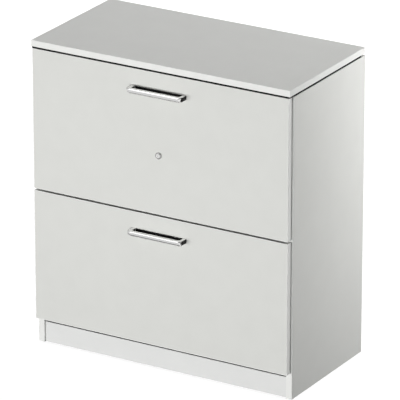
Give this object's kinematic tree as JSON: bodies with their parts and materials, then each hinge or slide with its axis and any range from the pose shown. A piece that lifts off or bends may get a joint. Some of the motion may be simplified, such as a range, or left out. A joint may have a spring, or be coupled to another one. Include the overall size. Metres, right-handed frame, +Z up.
{
  "type": "lateral filing cabinet",
  "caption": "Low wide filing cabinet of light grey faced board: full-width drawers on ball slides, bow handles with a dark finger recess, a turn lock and a recessed plinth.",
  "frame": {"origin": "middle of the bounding box, on the floor", "axes": "+Z up, -Y out of the drawer fronts, +X to the right seen from the front"},
  "size_m": [0.8, 0.437, 0.886],
  "materials": {
    "faced_board": "light grey melamine-faced board, satin",
    "edge_banding": "light grey plastic edge band, satin",
    "dark_strip": "black-stained packing strip",
    "satin_chrome": "satin chrome",
    "black_plastic": "black moulded plastic",
    "grey_paint": "light grey powder coat on sheet steel",
    "zinc_steel": "bright zinc plate",
    "aluminium_rail": "anodised",
    "soft_pad": "clear soft pad"
  },
  "bodies": {
    "cabinet": {"top_panel": "faced_board", "top_edge_bands": "edge_banding", "shadow_gap_strips": "dark_strip", "left_side": "faced_board", "right_side": "faced_board", "side_edge_bands": "edge_banding", "bottom_panel": "faced_board", "top_front_rail": "faced_board", "top_rear_rail": "faced_board", "back_panel": "faced_board", "front_plinth": "faced_board", "rear_plinth": "faced_board", "cam_fittings": "zinc_steel", "carcass_screws": "zinc_steel", "slide_screws": "zinc_steel", "foot_sockets": "black_plastic", "strike_plate": "zinc_steel", "upper_outer_slides": "zinc_steel", "lower_outer_slides": "zinc_steel"},
    "upper_drawer": {"upper_front": "faced_board", "upper_front_bands": "edge_banding", "upper_handle": "satin_chrome", "upper_recess": "black_plastic", "upper_screws": "zinc_steel", "upper_box_front": "grey_paint", "upper_box_sides": "grey_paint", "upper_box_rear": "grey_paint", "upper_box_floor": "grey_paint", "upper_hang_rails": "aluminium_rail", "upper_bumpers": "soft_pad", "upper_inner_slides": "zinc_steel", "lock_housing": "satin_chrome", "rod_guides": "zinc_steel"},
    "lower_drawer": {"lower_front": "faced_board", "lower_front_bands": "edge_banding", "lower_handle": "satin_chrome", "lower_recess": "black_plastic", "lower_screws": "zinc_steel", "lower_box_front": "grey_paint", "lower_box_sides": "grey_paint", "lower_box_rear": "grey_paint", "lower_box_floor": "grey_paint", "lower_hang_rails": "aluminium_rail", "lower_bumpers": "soft_pad", "lower_inner_slides": "zinc_steel", "lock_catch": "zinc_steel"},
    "lock_core": {"lock_plug": "satin_chrome", "lock_pinion": "zinc_steel"},
    "lock_up_rod": {"lock_rod_up": "zinc_steel"},
    "lock_down_rod": {"lock_rod_down": "zinc_steel"},
    "upper_slide_middles": {"upper_middle_slides": "zinc_steel"},
    "upper_outer_ball_cages": {"upper_outer_cages": "zinc_steel"},
    "upper_inner_ball_cages": {"upper_inner_cages": "zinc_steel"},
    "lower_slide_middles": {"lower_middle_slides": "zinc_steel"},
    "lower_outer_ball_cages": {"lower_outer_cages": "zinc_steel"},
    "lower_inner_ball_cages": {"lower_inner_cages": "zinc_steel"},
    "levelling_foot_front_left": {"foot_front_left": "black_plastic"},
    "levelling_foot_front_right": {"foot_front_right": "black_plastic"},
    "levelling_foot_rear_left": {"foot_rear_left": "black_plastic"},
    "levelling_foot_rear_right": {"foot_rear_right": "black_plastic"}
  },
  "joints": [
    {"name": "upper_drawer_slide", "type": "slide", "parent": "cabinet", "child": "upper_drawer", "axis": [0, -1, 0], "range_m": [0, 0.35]},
    {"name": "upper_slide_middles_run", "type": "slide", "parent": "cabinet", "child": "upper_slide_middles", "axis": [0, -1, 0], "range_m": [0, 0.175]},
    {"name": "upper_outer_ball_cages_run", "type": "slide", "parent": "cabinet", "child": "upper_outer_ball_cages", "axis": [0, -1, 0], "range_m": [0, 0.0875]},
    {"name": "upper_inner_ball_cages_run", "type": "slide", "parent": "cabinet", "child": "upper_inner_ball_cages", "axis": [0, -1, 0], "range_m": [0, 0.2625]},
    {"name": "lower_drawer_slide", "type": "slide", "parent": "cabinet", "child": "lower_drawer", "axis": [0, -1, 0], "range_m": [0, 0.35]},
    {"name": "lower_slide_middles_run", "type": "slide", "parent": "cabinet", "child": "lower_slide_middles", "axis": [0, -1, 0], "range_m": [0, 0.175]},
    {"name": "lower_outer_ball_cages_run", "type": "slide", "parent": "cabinet", "child": "lower_outer_ball_cages", "axis": [0, -1, 0], "range_m": [0, 0.0875]},
    {"name": "lower_inner_ball_cages_run", "type": "slide", "parent": "cabinet", "child": "lower_inner_ball_cages", "axis": [0, -1, 0], "range_m": [0, 0.2625]},
    {"name": "lock_up_rod_run", "type": "slide", "parent": "upper_drawer", "child": "lock_up_rod", "axis": [0, 0, 1], "range_m": [0, 0.01507]},
    {"name": "lock_down_rod_run", "type": "slide", "parent": "upper_drawer", "child": "lock_down_rod", "axis": [0, 0, -1], "range_m": [0, 0.01507]},
    {"name": "lock_turn", "type": "hinge", "parent": "upper_drawer", "child": "lock_core", "pos_m": [0, -0.1875, 0.631], "axis": [0, 1, 0], "range_deg": [0, 90]},
    {"name": "levelling_foot_front_left_screw", "type": "slide", "parent": "cabinet", "child": "levelling_foot_front_left", "axis": [0, 0, -1], "range_m": [0, 0.015]},
    {"name": "levelling_foot_front_right_screw", "type": "slide", "parent": "cabinet", "child": "levelling_foot_front_right", "axis": [0, 0, -1], "range_m": [0, 0.015]},
    {"name": "levelling_foot_rear_left_screw", "type": "slide", "parent": "cabinet", "child": "levelling_foot_rear_left", "axis": [0, 0, -1], "range_m": [0, 0.015]},
    {"name": "levelling_foot_rear_right_screw", "type": "slide", "parent": "cabinet", "child": "levelling_foot_rear_right", "axis": [0, 0, -1], "range_m": [0, 0.015]}
  ],
  "couplings": [
    {"joint": "upper_slide_middles_run", "follows": "upper_drawer_slide", "ratio": 0.5},
    {"joint": "upper_outer_ball_cages_run", "follows": "upper_drawer_slide", "ratio": 0.25},
    {"joint": "upper_inner_ball_cages_run", "follows": "upper_drawer_slide", "ratio": 0.75},
    {"joint": "lower_slide_middles_run", "follows": "lower_drawer_slide", "ratio": 0.5},
    {"joint": "lower_outer_ball_cages_run", "follows": "lower_drawer_slide", "ratio": 0.25},
    {"joint": "lower_inner_ball_cages_run", "follows": "lower_drawer_slide", "ratio": 0.75},
    {"joint": "lock_down_rod_run", "follows": "lock_up_rod_run", "ratio": 1},
    {"joint": "lock_turn", "follows": "lock_up_rod_run", "rad_per_m": 104.17}
  ]
}
